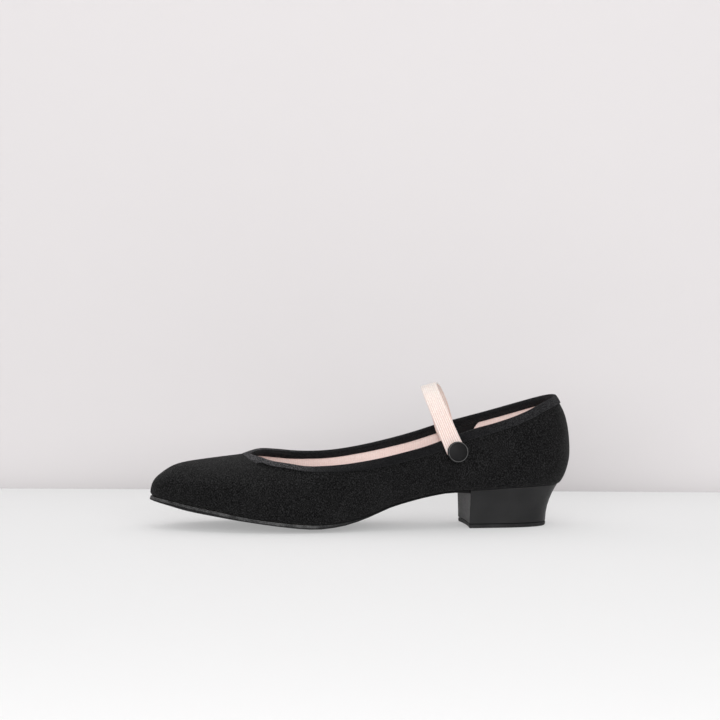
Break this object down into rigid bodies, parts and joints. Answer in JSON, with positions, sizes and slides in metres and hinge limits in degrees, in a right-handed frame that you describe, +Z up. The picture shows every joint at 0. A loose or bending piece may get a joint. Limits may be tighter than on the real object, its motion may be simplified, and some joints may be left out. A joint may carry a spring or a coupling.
{
  "type": "character shoe",
  "caption": "Low-heeled canvas character shoe with a bound collar and a snapped elastic instep strap, standing empty on its sole.",
  "frame": {"origin": "on the floor under the middle of the shoe's bounding box, which lies on the plane that the heel and the ball stand on", "axes": "+X from the heel to the toe, +Y to the wearer's left (the outer side of this left shoe), +Z up"},
  "size_m": [0.2508, 0.0814, 0.0856],
  "materials": {
    "canvas": "matt black woven cotton",
    "binding_tape": "black woven tape",
    "insole_lining": "pale pink drill",
    "outsole_rubber": "matt black",
    "covered_heel": "black covering with a low sheen",
    "top_piece_rubber": "matt black",
    "pink_elastic": "ribbed pale pink elastic",
    "patch_cloth": "matt black",
    "snap_cap": "black, slightly glossy"
  },
  "bodies": {
    "root": {"upper": "canvas", "collar_binding": "binding_tape", "insole": "insole_lining", "outsole": "outsole_rubber", "heel_block": "covered_heel", "top_piece": "top_piece_rubber", "strap": "pink_elastic", "strap_patch": "patch_cloth", "button": "snap_cap"}
  },
  "joints": []
}
